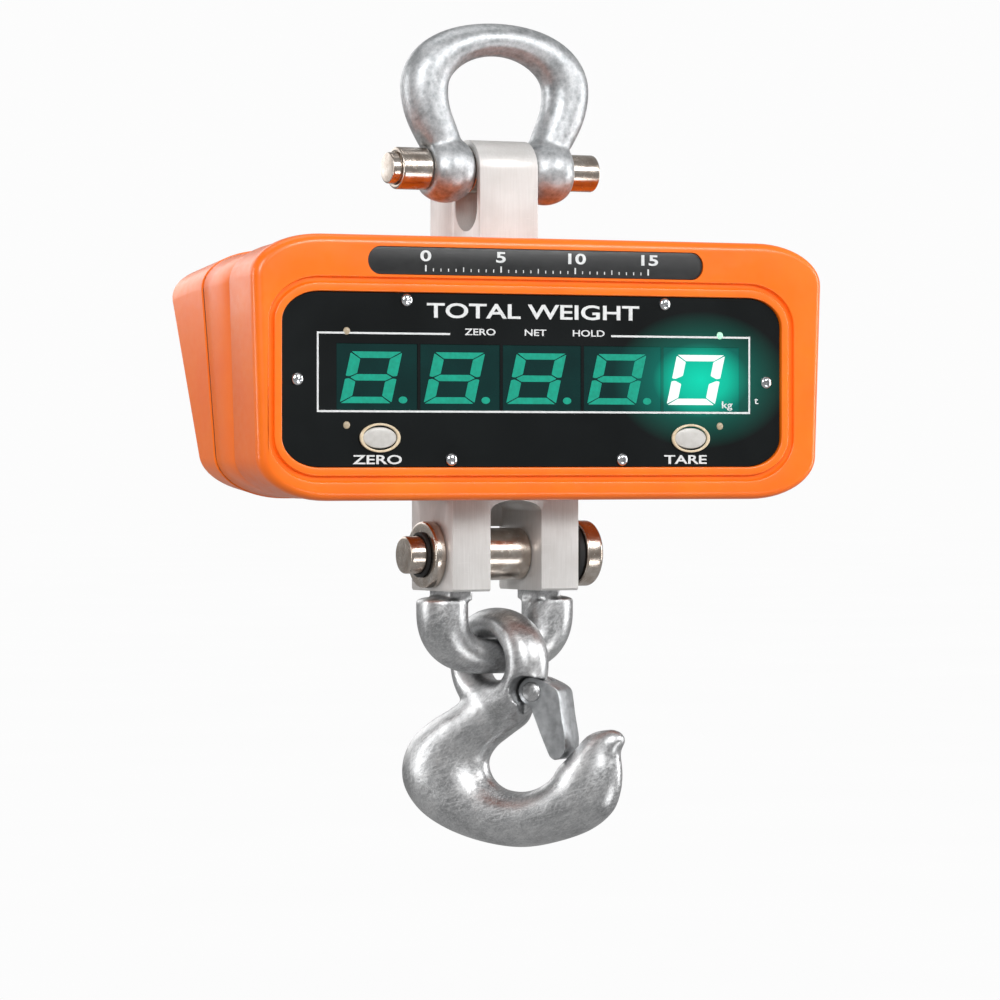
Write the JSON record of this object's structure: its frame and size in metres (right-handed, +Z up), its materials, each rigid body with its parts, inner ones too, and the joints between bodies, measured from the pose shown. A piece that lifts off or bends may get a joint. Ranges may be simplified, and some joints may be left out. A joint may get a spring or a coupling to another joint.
{
  "type": "crane scale",
  "caption": "Hanging crane scale: bow shackle over a load cell in a flat display housing, with a clevis, a link and a latched hook below.",
  "frame": {"origin": "bearing point inside the crown of the shackle bow, where the scale hangs", "axes": "+Z up along the load line, +X to the right of the display, +Y from the display towards the back cover"},
  "size_m": [0.5989, 0.2206, 0.7405],
  "materials": {
    "galvanised": "hot-dip galvanised forging",
    "forged": "forged steel, polished",
    "turned": "turned and polished steel",
    "machined": "nickel-plated machined steel",
    "orange": "orange gloss enamel",
    "panel": "gloss black",
    "plate": "satin black",
    "rubber": "matt black",
    "chrome": "polished",
    "segments": "dark green filter",
    "board": "circuit board",
    "cap": "satin light grey",
    "rim": "satin",
    "led_green": "lit green lens",
    "led_cream": "cream lens",
    "zinc": "zinc plated",
    "battery": "dark grey case"
  },
  "bodies": {
    "shackle": {"shackle_bow": "galvanised", "shackle_pin": "turned", "shackle_nut": "turned"},
    "scale_head": {"pin_sleeve": "turned", "load_cell": "machined", "gauge_cover_left": "machined", "gauge_cover_right": "machined", "suspension_bracket": "machined", "bracket_bolt": "zinc", "pin_washer": "turned", "pin_retaining_ring": "rubber", "pin_spacer": "turned", "pin_seal_ring": "rubber", "clevis_spool": "turned", "clevis_pin": "turned", "front_case": "orange", "rear_cover": "orange", "battery_cover": "orange", "charge_socket": "chrome", "gasket_left": "rubber", "gasket_right": "rubber", "battery_cover_screw_1": "chrome", "battery_cover_screw_2": "chrome", "display_panel": "panel", "capacity_plate": "plate", "display_board": "board", "main_board": "board", "battery": "battery", "chassis_left": "zinc", "chassis_right": "zinc", "led_top_left": "led_cream", "led_top_right": "led_green", "led_bottom_left": "led_cream", "led_bottom_right": "led_cream", "button_ring_left": "rim", "button_ring_right": "rim", "cover_screw_1": "chrome", "cover_screw_2": "chrome", "cover_screw_3": "chrome", "cover_screw_4": "chrome", "panel_screw_1": "chrome", "panel_screw_2": "chrome", "panel_screw_3": "chrome", "panel_screw_4": "chrome", "panel_screw_5": "chrome", "panel_screw_6": "chrome", "digit_module_1": "segments", "digit_module_2": "segments", "digit_module_3": "segments", "digit_module_4": "segments", "digit_module_5": "segments"},
    "link": {"u_link": "forged"},
    "hook": {"hook": "forged", "latch_pin": "forged"},
    "latch": {"latch": "zinc"},
    "button_left": {"button_cap_left": "cap"},
    "button_right": {"button_cap_right": "cap"}
  },
  "joints": [
    {"name": "shackle_swing", "type": "hinge", "parent": "shackle", "child": "scale_head", "pos_m": [0, 0, -0.1029], "axis": [1, 0, 0], "range_deg": [-90, 90]},
    {"name": "link_swing", "type": "hinge", "parent": "scale_head", "child": "link", "pos_m": [0, 0, -0.4476], "axis": [1, 0, 0], "range_deg": [-10, 10]},
    {"name": "hook_swing", "type": "hinge", "parent": "link", "child": "hook", "pos_m": [0, 0, -0.5396], "axis": [1, 0, 0], "range_deg": [-20, 20]},
    {"name": "latch_open", "type": "hinge", "parent": "hook", "child": "latch", "pos_m": [0.02648, -0.03301, -0.5702], "axis": [0.809, 0.5878, 0], "range_deg": [0, 28], "stiffness_Nm_per_rad": 0.2, "springref_deg": -34.38},
    {"name": "button_left_press", "type": "slide", "parent": "scale_head", "child": "button_left", "axis": [0, 1, 0], "range_m": [0, 0.002], "stiffness_N_per_m": 900, "springref_m": -0.001},
    {"name": "button_right_press", "type": "slide", "parent": "scale_head", "child": "button_right", "axis": [0, 1, 0], "range_m": [0, 0.002], "stiffness_N_per_m": 900, "springref_m": -0.001}
  ]
}
